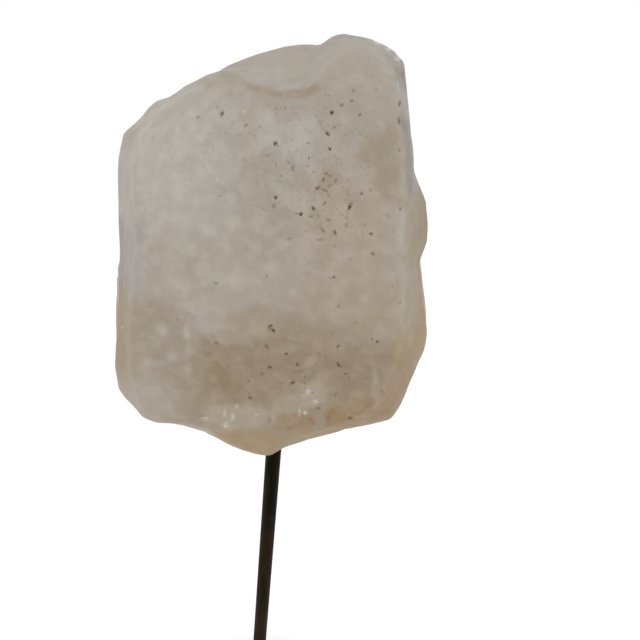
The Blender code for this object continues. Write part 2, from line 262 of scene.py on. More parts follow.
# Across, up, width and length in millimetres, turn in degrees, darkness.
stonePits = [
    (-17.2, 46.1, 1.0, 2.2, 75, 0.8), (-18.6, 48.3, 0.7, 1.8, -50, 0.45), (-9.0, 42.3, 1.1, 1.4, 20, 0.6),
    (1.2, 36.1, 1.2, 2.0, 80, 0.9), (7.3, 27.8, 1.2, 2.2, 80, 0.55), (-25.3, 44.8, 0.9, 1.1, 0, 0.5),
    (1.2, 17.4, 0.9, 1.3, -10, 1.0), (10.4, 11.8, 1.1, 1.4, 10, 1.0), (8.8, 12.2, 0.6, 1.8, -10, 0.5),
    (22.9, 53.1, 0.8, 0.9, 0, 0.45), (20.8, 46.8, 1.1, 1.4, 80, 0.95), (30.4, 46.0, 0.9, 1.2, 60, 0.85),
    (28.2, 54.3, 0.9, 1.3, 60, 0.75), (27.7, 50.8, 0.8, 1.0, 0, 0.6), (24.3, 49.4, 0.8, 1.4, -10, 0.85),
    (19.4, 39.4, 0.9, 1.4, -40, 0.9), (20.1, 34.3, 0.9, 1.3, -50, 0.95), (18.5, 35.2, 0.6, 0.9, 80, 0.55),
    (12.8, 36.4, 0.8, 0.9, 0, 0.6), (23.2, 42.3, 0.7, 1.0, 60, 0.7), (21.5, 41.6, 0.8, 1.1, 50, 0.65),
    (27.4, 14.4, 1.2, 2.9, 75, 0.95), (26.0, 8.0, 1.2, 1.6, 30, 0.45), (26.0, 10.6, 0.6, 1.8, 90, 0.4),
    (26.7, 18.7, 0.8, 2.2, -65, 0.45), (18.0, 6.2, 1.1, 1.8, -60, 0.7), (22.2, 5.2, 1.0, 1.9, -70, 0.75),
    (34.8, 4.8, 0.8, 1.2, -50, 0.75), (35.6, -2.2, 0.8, 1.0, -20, 0.95), (31.2, 19.1, 0.9, 1.1, 80, 0.75),
    (34.0, 20.1, 0.9, 1.1, 0, 0.5), (18.7, 25.7, 0.9, 1.4, -15, 0.62), (20.1, 25.0, 0.8, 1.5, -15, 0.62),
    (18.0, 23.6, 0.9, 1.5, 80, 0.85), (21.9, 23.2, 0.8, 2.2, 70, 0.55), (20.1, 21.5, 1.0, 1.6, 20, 0.6),
    (16.0, 20.8, 1.0, 2.0, 20, 0.75), (18.4, 20.1, 0.7, 2.6, -25, 0.6), (19.8, 18.4, 0.8, 1.6, -60, 0.55),
    (18.4, 15.6, 0.9, 1.4, 60, 0.7), (14.6, 13.9, 1.0, 1.5, -45, 0.95), (13.9, 11.1, 0.9, 2.0, 35, 0.5),
    (16.3, 11.1, 0.9, 1.4, -60, 0.5), (19.8, 9.7, 0.9, 1.5, 0, 0.65), (12.5, 28.5, 1.0, 1.8, -20, 0.4),
    (14.9, 26.4, 1.0, 1.2, -40, 0.45), (5.9, 29.8, 0.8, 0.9, 0, 0.4), (-1.7, 31.9, 1.2, 1.3, 0, 0.35),
    (-0.3, 32.4, 0.8, 0.9, 0, 0.45), (1.4, 28.8, 0.7, 2.6, 80, 0.3), (-23.6, 28.1, 1.8, 2.6, 20, 0.2),
    (-9.4, 30.5, 1.0, 1.0, 0, 0.3), (0.7, 14.6, 0.9, 2.0, 70, 0.45), (6.2, 3.1, 0.9, 1.2, 0, 0.4),
    (17.0, 2.8, 1.0, 2.4, 10, 0.45), (3.1, 4.2, 0.7, 1.2, 20, 0.3), (40.6, 11.1, 1.0, 2.0, -60, 0.35),
    (21.5, -10.1, 0.8, 1.0, 0, 0.75), (20.1, -10.4, 0.7, 0.7, 0, 0.45), (27.8, -3.8, 0.8, 1.3, 50, 0.35),
    (31.9, 4.2, 0.7, 1.1, 90, 0.3), (41.3, -13.5, 0.8, 1.2, 80, 0.5), (22.9, -20.1, 0.7, 1.0, 80, 0.5),
    (28.5, -25.7, 0.7, 0.8, 0, 0.4), (44.1, -19.1, 0.8, 1.1, 90, 0.4), (44.1, -27.8, 0.8, 0.9, 0, 0.4),
    (-1.7, -9.7, 0.8, 1.6, 85, 0.5), (11.5, -15.6, 0.7, 0.8, 0, 0.3), (-19.4, -12.4, 0.8, 1.1, -50, 0.65),
    (-0.6, -27.6, 1.2, 1.6, 60, 1.0), (0.6, -28.8, 0.9, 1.6, -50, 1.0), (22.9, -34.0, 1.0, 1.3, 70, 1.0),
    (36.4, -32.5, 0.8, 1.1, 15, 0.95), (34.4, -31.4, 0.7, 1.0, 80, 0.55), (4.9, -36.8, 0.8, 0.9, 0, 0.85),
    (9.0, -40.6, 0.9, 1.1, 40, 0.9), (-0.8, -41.8, 0.9, 1.2, 0, 0.95), (23.2, -40.6, 0.9, 2.0, -50, 0.9),
    (25.8, -44.1, 0.8, 0.9, 0, 0.8), (26.9, -45.3, 0.7, 1.0, 0, 0.65), (-1.7, -34.4, 1.1, 1.8, -50, 0.7),
    (-3.5, -44.1, 0.9, 1.1, 0, 0.75), (-8.0, -46.2, 0.9, 1.1, 0, 0.65), (-8.0, -50.7, 0.8, 0.9, 0, 0.5),
    (-7.3, -52.0, 1.0, 1.2, 0, 0.9), (-19.4, -33.0, 1.0, 1.2, 0, 0.55), (-27.4, -59.3, 0.9, 1.1, 0, 0.5),
    (7.3, -47.0, 0.9, 2.0, 25, 0.85), (10.1, -43.0, 1.0, 2.4, 10, 0.35), (16.3, -55.5, 0.7, 1.4, -15, 0.75),
    (22.2, -51.0, 0.5, 1.2, 80, 0.6), (27.1, -59.0, 0.9, 1.6, 15, 0.85), (11.5, -48.9, 0.6, 1.0, 15, 0.8),
    (13.9, -50.3, 0.8, 0.9, 0, 0.8), (38.2, -50.0, 0.9, 1.2, 80, 0.65), (16.3, -36.4, 0.8, 1.2, 0, 0.45),
    (13.5, -36.8, 0.7, 1.3, 20, 0.3), (18.7, -37.8, 0.7, 0.8, 0, 0.3), (5.9, -62.1, 0.9, 1.1, 0, 0.35),
    (-1.0, -60.0, 1.0, 1.1, 0, 0.4), (-32.3, -25.0, 1.2, 1.2, 45, 0.3), (-29.1, -22.6, 1.0, 1.6, 80, 0.3),
    (44.1, 49.8, 0.9, 2.2, 80, 0.85), (43.9, 43.7, 0.9, 2.2, 88, 0.8), (43.7, 33.6, 0.9, 1.4, 85, 0.5),
    (45.1, 59.7, 0.9, 2.0, 85, 0.5), (44.6, 13.4, 0.8, 1.1, 80, 0.8), (36.1, 54.5, 1.0, 1.5, 80, 0.3),
    (30.5, 39.2, 0.8, 1.4, 0, 0.3), (-21.1, 38.9, 0.8, 1.4, 10, 0.32), (-15.8, 39.0, 0.6, 1.8, 5, 0.32),
    (-13.3, 43.2, 0.6, 2.2, 80, 0.32), (-4.3, 41.8, 1.0, 1.6, 50, 0.36), (-6.3, 38.6, 0.8, 1.2, 0, 0.36),
    (-18.2, 18.2, 0.8, 0.9, 0, 0.45), (-25.6, 4.5, 0.8, 1.0, 0, 0.32),
]
# Fine dark cracks: strength, then across and up in millimetres along each.
stoneCracks = [
    (0.42, [(15.3, 45.8), (16.7, 42.7), (18.4, 40.3), (19.8, 38.9)]),
    (0.25, [(27.8, 51.0), (31.2, 49.6), (34.7, 48.9), (37.5, 48.6)]),
    (0.30, [(-5.6, 14.9), (-3.5, 13.5), (-0.7, 12.5)]),
    (0.32, [(18.4, 34.0), (20.8, 31.9), (23.9, 30.2)]),
    (0.30, [(29.1, 30.5), (31.9, 26.4), (33.7, 25.0)]),
    (0.22, [(27.8, 28.5), (30.5, 25.0)]),
    (0.30, [(-0.7, -60.7), (3.5, -62.5), (6.2, -62.8), (9.7, -60.4)]),
    (0.30, [(9.7, -43.0), (13.2, -41.6), (16.0, -40.6)]),
    (0.30, [(2.8, -46.5), (5.5, -47.5), (7.5, -46.5)]),
]

stoneDetail = {
    "cells": (104, 68, 152),       # along X, Y and Z, before the cells at the pits are split
    "quickCells": (54, 36, 80),
    "blockHalf": Vector((54.0, 34.0, 72.0)) * mm,
    "splits": 2,                   # cuts across the edge of a split cell
    "pitZone": 1.3 * mm,
    "crackZone": 0.9 * mm,
    "crackStep": 1.0,              # mm
    "pitFront": 0.5,               # the frontness from which there are pits, cracks and flecks
    "pitDepth": 0.35 * mm,
    "pitSharpness": 0.85,
    "crackDepth": 0.25 * mm,
    "crackWidth": 0.38,            # mm
    "pitWander": (0.9, 0.45, (5.0, 8.0)),  # wavelength and reach in mm, shifts
    "crackWander": 0.6,            # the share of that reach
    "chipCount": 90,
    "chipRadius": (3.0, 9.0),      # mm
    "chipDepth": (0.25, 0.8),      # mm
    "chipFront": 0.30,             # the share of that depth in front
    "frontFrom": 0.7,              # the frontness from which a chip lies in front
    "edgeTries": 5000,
    "edgeHalvings": 18,
    "edgeStep": 0.4 * mm,
    "edgeReach": 2,                # mm to both sides of an edge
    "edgePool": 4,                 # candidates for each chip
    "lumps": (9.0, 0.22, 3.1),     # wavelength and height in mm, shift
    "grit": (2.6, 0.05, 9.4),
    "ridges": (13.0, 0.35, 17.0),
    "ridgeSharpness": 6,
    "ridgeArea": (0, -55, 60, 16),  # across, up, half width, half height in mm
    "standIn": 0.30 * mm,          # the fine surface stays this far inside the solid's
    "socketRadius": 3.475 * mm,
    "socketTop": 260.3 * mm,
    "socketDepth": 60 * mm,
    "socketSides": 48,
    "seed": 7,
}


def griddedBlock(half, cells):
    block = bmesh.new()
    bmesh.ops.create_cube(block, size=2.0)
    for axis, count in enumerate(cells):
        along = [e for e in block.edges if abs((e.verts[0].co - e.verts[1].co)[axis]) > 1]
        bmesh.ops.subdivide_edges(block, edges=along, cuts=count - 1, use_grid_fill=True)
    bmesh.ops.scale(block, vec=half, verts=block.verts)
    return block


def unitDirections(block):
    return unit(np.array([vert.co for vert in block.verts]))


def splitNear(block, spots, zone):
    # smaller cells where the small features sit
    faces = list(block.faces)
    middles = unit(np.array([face.calc_center_median() for face in faces]))
    near = np.zeros(len(faces), bool)
    for spot in spots:
        reach = np.linalg.norm(spot - centre)
        near |= np.linalg.norm(middles - (spot - centre) / reach, axis=1) < zone / reach
    edges = {edge for face, chosen in zip(faces, near) if chosen for edge in face.edges}
    bmesh.ops.subdivide_edges(block, edges=list(edges), cuts=stoneDetail["splits"], use_grid_fill=True)


def edgeSpots(outside, count, rng):
    # places where two faces of the stone meet
    tries = unit(rng.normal(size=(stoneDetail["edgeTries"], 3)))
    places = surfacePoints(tries, outside, stoneDetail["edgeHalvings"])
    step = stoneDetail["edgeStep"]
    normals = outwardAt(outside, places, step)
    side = unit(np.cross(normals, rng.normal(size=normals.shape)))
    bend = np.zeros(len(places))
    for way in (side, np.cross(normals, side)):
        reach = way * stoneDetail["edgeReach"] * mm
        ahead, behind = (outwardAt(outside, spots, step) for spots in (places + reach, places - reach))
        bend = np.maximum(bend, 1 - np.sum(ahead * behind, axis=1))
    best = np.argsort(-bend)[: count * stoneDetail["edgePool"]]
    chosen = rng.choice(best, count, replace=False)
    return places[chosen], normals[chosen]


def chipAway(directions, reaches, places, normals, rng):
    # flakes: small balls taken out of the edges
    for place, normal in zip(places, normals):
        radius = rng.uniform(*stoneDetail["chipRadius"]) * mm
        depth = rng.uniform(*stoneDetail["chipDepth"]) * mm
        if frontness((place - centre) / np.linalg.norm(place - centre)) > stoneDetail["frontFrom"]:
            depth *= stoneDetail["chipFront"]
        middle = place - centre + normal * (radius - depth)
        along = directions @ middle
        under = along * along - (middle @ middle - radius * radius)
        hit = (under > 0) & (along > 0)
        enter = along - np.sqrt(np.where(hit, under, 0.0))
        reaches = np.where(hit & (enter < reaches), enter, reaches)
    return reaches


def noiseAt(spots, wavelength, shift=0.0):
    return np.array([noise.noise(Vector(spot) / wavelength + Vector((shift, 0, 0))) for spot in spots])


def nearestOnPath(across, up, path):
    # distance in mm from each spot to a path in the facing plane
    best = np.full(len(across), np.inf)
    for (x0, y0), (x1, y1) in zip(path, path[1:]):
        dx, dy = x1 - x0, y1 - y0
        share = np.clip(((across - x0) * dx + (up - y0) * dy) / (dx * dx + dy * dy), 0, 1)
        best = np.minimum(best, np.hypot(across - x0 - share * dx, up - y0 - share * dy))
    return best


def frontness(directions):
    # 1 on the front of the stone, 0 behind its widest section
    steepness, start = stoneForm["frontEdge"]
    return np.clip(directions @ beltAxis * steepness + start, 0, 1)


# The stone's tones, from milky quartz to iron stain; some zones below also lay them on as painted shade, a
# painted highlight and a painted glow.
quartzTones = {
    "cloud": (0.52, 0.49, 0.45),
    "frost": (0.44, 0.41, 0.37),
    "milk": (0.41, 0.37, 0.32),
    "quartz": (0.39, 0.35, 0.30),
    "cream": (0.39, 0.33, 0.26),
    "smoke": (0.36, 0.32, 0.26),
    "tan": (0.35, 0.29, 0.22),
    "ochre": (0.34, 0.26, 0.16),
    "brown": (0.32, 0.26, 0.19),
    "amber": (0.31, 0.22, 0.13),
    "umber": (0.28, 0.21, 0.14),
    "rust": (0.30, 0.13, 0.08),
    "grey": (0.34, 0.32, 0.29),
    "slate": (0.27, 0.25, 0.22),
}
# Where the tones lie: tone, strength, softness in mm, then an outline of across and up in mm.
stoneZones = {
    "upperLeft": ("frost", 0.9, 16.0, [(-54, 40), (-26, 56), (-12, 50), (-18, 16), (-24, 4), (-46, 4)]),
    "middleLeft": ("quartz", 0.8, 12.0, [(-50, 3), (-28, 5), (-24, -14), (-48, -14)]),
    "paleBand": ("milk", 0.5, 8.0, [(-22, 4), (-9, 24), (-7, -18), (-20, -20)]),
    "centreShade": ("smoke", 0.5, 3.0, [(-6, 28), (1, 26), (4, 6), (0, 0), (-6, 2)]),
    "cornerShade": ("grey", 0.5, 3.0, [(-54, 36), (-46, 46), (-40, 51), (-43, 43), (-47, 34)]),
    "chipShade": ("smoke", 0.6, 3.0, [(-40, 52), (-30, 57.5), (-22, 60.5), (-23, 57), (-33, 53)]),
    # painted shade under the crown's edge
    "underCrownShade": ("smoke", 0.6, 4.0, [(-24, 57), (-14, 57), (-10, 53), (-14, 50), (-20, 51)]),
    "paleUpper": ("frost", 0.7, 8.0, [(-6, 46), (12, 44), (18, 36), (12, 30), (2, 31), (-6, 36)]),
    "leftStrip": ("grey", 0.5, 5.0, [(-60, 42), (-49, 42), (-46, 16), (-46, -16), (-60, -16)]),
    "leftStripFoot": ("grey", 0.85, 7.0, [(-60, 8), (-45, 8), (-45, -18), (-60, -18)]),
    "middleRight": ("cream", 0.8, 16.0, [(8, 24), (44, 20), (43, -28), (14, -26)]),
    "crown": ("milk", 0.8, 4.0, [
        (-13, 61), (6, 72), (17, 72), (20, 62), (18, 58), (10, 54), (1, 53), (-8, 56)]),
    # the next two zones: painted shade along the crease where the crown meets the face
    "crease": ("brown", 0.75, 1.8, [
        (-10, 57.8), (-4, 56.4), (2, 54.9), (7, 54.7), (12.5, 55.1), (16.2, 57.0), (16.8, 55.6), (13, 52.4),
        (8.5, 51.6), (3, 52.3), (-3, 53.7), (-8.5, 55.2)]),
    "creaseTail": ("smoke", 0.6, 2.2, [(-21, 60), (-14, 60), (-9, 57.8), (-8, 55.8), (-14, 57)]),
    "crownFoot": ("smoke", 0.7, 2.0, [(-20, 61), (-13, 63.5), (-7, 63.5), (-9, 60), (-18, 59.5)]),
    "horn": ("quartz", 0.7, 6.0, [(20, 72), (25, 76), (40, 70), (42, 55), (26, 53), (22, 62)]),
    "hornTop": ("grey", 0.6, 3.0, [(20, 72), (25, 76), (34, 73.5), (40, 70), (33, 70), (24, 71)]),
    "brownWedge": ("brown", 0.6, 3.5, [
        (28.2, 32), (31, 36), (36.2, 38.8), (40.5, 42.5), (44, 43), (44.4, 34), (44, 18), (43, 14.5),
        (38.5, 18), (33.5, 24.5)]),
    "edgeStrip": ("grey", 0.85, 2.0, [
        (39, 70), (46, 67), (48, 50), (52, 36), (47.5, 40), (45.5, 45), (44.5, 52), (43.5, 60), (40, 65)]),
    "edgeStripFoot": ("slate", 0.7, 3.0, [(44.8, 47), (54, 42), (54, 17), (48.5, 15), (46, 29)]),
    "edgeNick": ("slate", 0.85, 2.4, [(43, 62), (48, 63), (48, 56), (43.2, 55.5)]),
    "rightSide": ("tan", 0.95, 1.4, [(45.8, 18), (58, 18), (58, -28), (45.8, -28)]),
    # a painted highlight: a pale band down the right ridge
    "ridge": ("milk", 0.85, 1.8, [(42.8, 14), (46.6, 14), (46.4, -8), (45.2, -26), (43.4, -26)]),
    "sideBrown": ("brown", 0.8, 2.4, [(48, -3), (54, -3), (54, -13), (48.5, -13)]),
    "sideTan": ("ochre", 0.85, 2.4, [(50.5, -17), (57, -17), (57, -28), (50.5, -28)]),
    "rightBulge": ("brown", 0.95, 2.0, [
        (50, 20), (56, 18), (56, -2), (51.5, -6), (48, -8), (48, 4), (50.5, 6), (51, 16)]),
    "warmBelt": ("tan", 0.55, 12.0, [(-2, -17), (44, -15), (44, -32), (-2, -32)]),
    # painted shade: darker and browner towards the bottom, where the stone faces down
    "lowerThird": ("brown", 0.95, 9.0, [
        (-60, -18), (-46, -17.5), (-39, -19), (-33, -22), (-29, -27.5), (-25, -30), (-20, -32), (-11, -33),
        (-3.5, -30), (0, -26), (10, -25), (25, -27.5), (41.5, -31), (46, -28), (58, -27), (58, -76),
        (-60, -76)]),
    "lowerLeftVeil": ("smoke", 0.5, 14.0, [
        (-60, -20), (-44, -19), (-32, -22), (-27, -30), (-27, -44), (-40, -44), (-60, -40)]),
    "darkest": ("umber", 0.85, 11.0, [
        (-23, -32), (-20, -34), (-11, -36), (-5.5, -34), (-3, -53), (-11, -53.5), (-23, -50), (-26, -42)]),
    "darkBand": ("umber", 0.6, 8.0, [
        (-2.5, -32), (25, -34), (41.5, -37), (43, -50), (23.5, -51.5), (17, -45), (10, -46), (6, -51),
        (-1, -51)]),
    "lowerLeft": ("quartz", 0.85, 9.0, [
        (-54, -42), (-44, -42), (-37, -46), (-33, -52), (-31, -60), (-42, -62), (-54, -53)]),
    # the next two zones: painted shade, the left flank darker than the face
    "leftEdge": ("slate", 0.6, 3.6, [(-60, 22), (-51.5, 15), (-49.8, 4), (-49.6, -15), (-60, -18)]),
    "leftEdgeFoot": ("umber", 0.5, 5.0, [(-62, -8), (-50.5, -14), (-48.4, -29), (-50, -37), (-62, -41)]),
    "tanPatch": ("ochre", 0.95, 3.0, [
        (43, -29), (46, -27), (48.5, -29.5), (56, -27), (56, -35), (50, -40), (43, -40), (41.5, -34)]),
    "tanFlank": ("amber", 0.9, 6.0, [(43, -37), (54, -36), (54, -42), (46, -54), (41, -52)]),
    "orangeRight": ("amber", 0.9, 6.0, [
        (22, -53), (32, -51), (43, -50), (44.5, -54.5), (41, -61), (20, -66), (19, -59)]),
    # painted light: the thin lip of the foot lighter and more orange, as light shining through it
    "footLipGlow": ("ochre", 1.0, 4.0, [
        (-19, -63), (-4, -63.5), (10, -64), (24, -62.5), (10, -70), (-8, -75), (-20, -69)]),
    "rosyFoot": ("tan", 0.7, 3.0, [(-38, -58.5), (-22, -58.5), (-20, -62), (-36, -63)]),
    "milkyFoot": ("cream", 0.8, 3.5, [
        (-21, -55), (-8, -53.5), (-1, -56), (-3.5, -62.5), (-16, -63), (-23, -60)]),
    "milkyFootRight": ("cream", 0.65, 3.5, [
        (-2, -53), (7, -51), (11, -47.5), (17, -47.5), (19, -53), (14, -55.5), (4, -56.5), (-2, -59)]),
    "footBrown": ("amber", 0.7, 4.0, [(4, -57.5), (13, -56.5), (17, -60), (12, -63.5), (2, -62.5)]),
    "shelf": ("tan", 0.8, 2.6, [
        (-21, -25), (-12, -22), (-4, -20.5), (3, -22), (1, -27), (-4, -30), (-13, -32.5), (-19, -31)]),
    "paleLobe": ("quartz", 0.9, 4.0, [
        (-30, -18), (-22, -17.5), (-17.5, -21), (-16.5, -26), (-19, -29), (-24, -29.5), (-28, -26.5)]),
    "crust": ("brown", 0.35, 3.0, [(16, 27), (23, 27), (24, 22), (20, 19), (15, 20), (17, 24)]),
    "redStain": ("rust", 0.6, 1.4, [(12.8, -58), (14.2, -58.2), (14.8, -60), (13.4, -59.8)]),
    "redStreak": ("rust", 0.55, 1.2, [
        (21.2, -55.6), (22.0, -56.0), (20.6, -58.8), (19.2, -60), (19.0, -59)]),
}
stonePaint = {
    "drift": ((7, 3.0), (2.6, 1.1)),  # wavelengths and reaches in mm by which the tones' edges wander
    "driftShifts": (21.0, 24.0),
    "fineShift": 9.0,
    "sideDrift": (22, 8, 37.0),    # wavelength and reach in mm, shift
    "sideStart": (43, 4),          # mm across, and over how many mm
    "sharpPull": (0.2, 8),         # the drift's share at a sharp edge, and the softness that adds a whole one
    "cloudPull": 0.4,
    "zoneBehind": 0.3,             # the share of a zone's strength behind the widest section
    "facing": (1.7, 0.3),          # gain and least value
    "hazeBase": 0.5,
    "hazeArea": (-20, 20, 50, 40),  # across, up, half width, half height in mm
    "clearArea": (2, 64, 20, 7),
    "clearShare": 0.9,
    "hazeRim": (53, 8, 0.15),      # mm across, over how many mm, least value; the veil fades at the left and right rims as painted shade there
    "speckleAreas": [(22, 28, 24, 32, 1.0), (12, -44, 34, 16, 0.7), (-14, 38, 24, 14, 0.45)],
    "speckleBehind": 0.6,
    "sideBehind": 0.2,
    "crackShade": 0.6,
    "polish": 0.012,               # what the polish adds to the tones
    "light": 1.15,                 # what the room's light multiplies them by
}
# Soft pale clouds under the surface: across, up, half width, half height in mm, strength.
stoneClouds = [
    (-32, 37, 1.4, 8, 0.24), (-42, 33, 1.2, 4, 0.21), (-45, 44, 1.5, 3, 0.12), (-37, 12, 2.5, 5, 0.15),
    (-44, 18, 1.6, 9, 0.12), (-36, 49, 1.5, 1.5, 0.21), (-35, 0, 3, 7, 0.07), (-32, -12, 3, 2.5, 0.12),
    (-38, -29, 1.8, 1.8, 0.45), (-29.5, -29.5, 1.2, 1.8, 0.65), (-28.5, -35, 1.3, 3.5, 0.4),
    (-34.5, -37, 2.0, 1.6, 0.45), (-39, -34, 1.2, 1.2, 0.25), (-43, -40, 1.8, 2, 0.25),
    (-29, -42, 2, 1.3, 0.35), (-19, 26, 1, 3, 0.18), (-12, 54, 1.6, 1.4, 0.25), (-19, 54, 1.2, 1.2, 0.25),
    (31.5, -17, 1.0, 1.2, 0.3), (36, -46, 1, 6, 0.35), (13, -40, 2, 2, 0.25), (16, -48, 3, 2.5, 0.15),
    (30, -51, 2, 1.2, 0.3), (-16, -13, 3, 2, 0.09), (0, -6, 2, 1.5, 0.12), (34, -6, 2, 1.5, 0.12),
    (-52, 16, 2.5, 3, 0.18), (-52, 32, 1, 2, 0.24), (48, -32, 1.2, 2.5, 0.21), (24.5, 70, 0.5, 4, 0.25),
    (30, 60, 0.6, 1.6, 0.22), (39, 62, 0.6, 1.4, 0.22), (34.5, 64, 0.5, 1.0, 0.2), (28, 57, 0.8, 0.8, 0.2),
    (2, 60, 1.0, 5, 0.1),
]
# White bruised flecks: across, up, half width, half height in mm, strength.
stoneFlecks = [
    (12.6, -49.8, 0.8, 0.9, 0.35), (11.0, -51.2, 0.9, 0.7, 0.25), (14.8, -53.2, 0.9, 0.6, 0.45),
    (11.5, -57.0, 0.5, 0.6, 0.35), (9.5, -56.5, 0.5, 1.4, 0.25), (-13.5, -58.4, 0.5, 1.0, 0.6),
    (-16.2, -57.0, 0.4, 1.0, 0.45), (-16.0, -61.3, 1.0, 0.9, 0.45), (-23.0, -59.2, 1.1, 0.6, 0.55),
    (-12.0, -54.8, 0.6, 0.6, 0.3), (0.5, -58.5, 0.5, 0.7, 0.3), (-5.0, -57.5, 0.9, 0.4, 0.25),
    (40.3, 68.5, 0.8, 1.0, 0.45), (36.5, 71.0, 1.2, 0.9, 0.6), (43.3, 65.3, 0.8, 0.8, 0.55),
    (43.6, 56.5, 0.5, 1.6, 0.3), (33.5, 49.0, 0.8, 0.7, 0.15), (37.5, 54.5, 0.7, 1.4, 0.15),
    (-19.0, 23.5, 0.4, 0.4, 0.25), (-29.0, 22.3, 0.7, 0.4, 0.15), (-9.5, 47.0, 0.4, 0.5, 0.25),
    (-51.5, -27.5, 0.4, 0.4, 0.35),
]


def soften(value):
    held = np.clip(value, 0, 1)
    return held * held * (3 - 2 * held)


def zoneShare(across, up, outline, softness):
    # 1 inside the outline, 0 outside it, with a soft edge between
    inside = np.zeros(len(across), bool)
    ring = outline + outline[:1]
    for (x0, y0), (x1, y1) in zip(ring, ring[1:]):
        if y0 != y1:
            inside ^= ((y0 > up) != (y1 > up)) & (across < x0 + (up - y0) * (x1 - x0) / (y1 - y0))
    away = nearestOnPath(across, up, ring) * np.where(inside, 1, -1)
    return soften(away / softness + 0.5)


def blot(across, up, x, y, wide, high):
    return np.exp(-(((across - x) / wide) ** 2) - ((up - y) / high) ** 2)


def splitBlock(outside):
    # the gridded block, with smaller cells at the pits, flecks and cracks
    cells = stoneDetail["cells"]
    block = griddedBlock(stoneDetail["blockHalf"], cells)
    small = [mark[:2] for mark in stonePits + stoneFlecks]
    thin = [spot for _, path in stoneCracks for spot in densify(path, stoneDetail["crackStep"])]
    for marks, zone in ((small, stoneDetail["pitZone"]), (thin, stoneDetail["crackZone"])):
        spots = [onFace(x, y, outside) for x, y in marks]
        splitNear(block, [spot for spot in spots if spot is not None], zone)
    return block


def roughen(reaches, places, across, up, front):
    # waves, lumps and grit all over, and ridges at the foot and behind
    reaches = reaches + noiseAt(places, stoneForm["waveLength"]) * stoneForm["waves"]
    for part in ("lumps", "grit"):
        wavelength, height, shift = stoneDetail[part]
        reaches += noiseAt(places, wavelength * mm, shift) * height * mm
    wavelength, height, shift = stoneDetail["ridges"]
    ridge = (1 - np.abs(noiseAt(places, wavelength * mm, shift))) ** stoneDetail["ridgeSharpness"]
    rough = np.clip(blot(across, up, *stoneDetail["ridgeArea"]) + 1 - front, 0, 1)
    return reaches - ridge * rough * height * mm


def pitsAndCracks(places, across, up, front):
    # how deep and dark each spot is, from 0 to 1
    wavelength, reach, shifts = stoneDetail["pitWander"]
    wander = [reach * noiseAt(places, wavelength * mm, shift) for shift in shifts]
    pit = np.zeros(len(places))
    for x, y, wide, long, turn, dark in stonePits:
        a = math.radians(turn)
        du, dv = across + wander[0] - x, up + wander[1] - y
        s, t = du * math.cos(a) + dv * math.sin(a), dv * math.cos(a) - du * math.sin(a)
        away = (2 * s / long) ** 2 + (2 * t / wide) ** 2
        pit = np.maximum(pit, dark * np.exp(-stoneDetail["pitSharpness"] * away))
    crack = np.zeros(len(places))
    share = stoneDetail["crackWander"]
    for strength, path in stoneCracks:
        away = nearestOnPath(across + wander[0] * share, up + wander[1] * share, path)
        crack = np.maximum(crack, strength * np.exp(-((away / stoneDetail["crackWidth"]) ** 2)))
    ahead = front > stoneDetail["pitFront"]
    return pit * ahead, crack * ahead


def stoneTint(places, across, up, front, facing, side):
    (coarse, coarseReach), (fine, fineReach) = stonePaint["drift"]
    drift = []
    for shift in stonePaint["driftShifts"]:
        large = noiseAt(places, coarse * mm, shift) * coarseReach
        small = noiseAt(places, fine * mm, shift + stonePaint["fineShift"]) * fineReach
        drift.append((large + small) * facing)
    wavelength, reach, shift = stonePaint["sideDrift"]
    drift[1] += noiseAt(places, wavelength * mm, shift) * reach * np.maximum(side, 1 - front)
    tint = np.tile(np.array(quartzTones["quartz"]), (len(places), 1))
    least, wholeSoftness = stonePaint["sharpPull"]
    behind = stonePaint["zoneBehind"]
    for tone, strength, softness, outline in stoneZones.values():
        pull = min(1.0, least + softness / wholeSoftness)
        share = zoneShare(across + drift[0] * pull, up + drift[1] * pull, outline, softness) * strength
        share = (share * (behind + (1 - behind) * front))[:, None]
        tint = tint * (1 - share) + np.array(quartzTones[tone]) * share
    pull = stonePaint["cloudPull"]
    for x, y, wide, high, strength in stoneClouds:
        share = blot(across + drift[0] * pull, up + drift[1] * pull, x, y, wide, high) * strength * front
        tint = tint + (np.array(quartzTones["cloud"]) - tint) * share[:, None]
    return (tint - stonePaint["polish"]) / stonePaint["light"]


def strongest(across, up, marks):
    # the strongest of the marks at each spot
    share = np.zeros(len(across))
    for x, y, wide, high, strength in marks:
        share = np.maximum(share, strength * blot(across, up, x, y, wide, high))
    return share


def hazeShare(across, up, facing):
    # how much of the milky veil shows: less at the crown and towards the sides; the thinner veil on the
    # flanks and rims is painted shade
    base = stonePaint["hazeBase"]
    rim, width, least = stonePaint["hazeRim"]
    haze = base + (1 - base) * blot(across, up, *stonePaint["hazeArea"])
    haze = haze * (1 - stonePaint["clearShare"] * blot(across, up, *stonePaint["clearArea"]))
    return haze * np.clip((rim - np.abs(across)) / width, least, 1) * facing


def addObject(name, data):
    thing = bpy.data.objects.new(name, data)
    bpy.context.scene.collection.objects.link(thing)
    return thing


def addSolid(name, shape):
    mesh = bpy.data.meshes.new(name)
    shape.to_mesh(mesh)
    shape.free()
    return addObject(name, mesh)


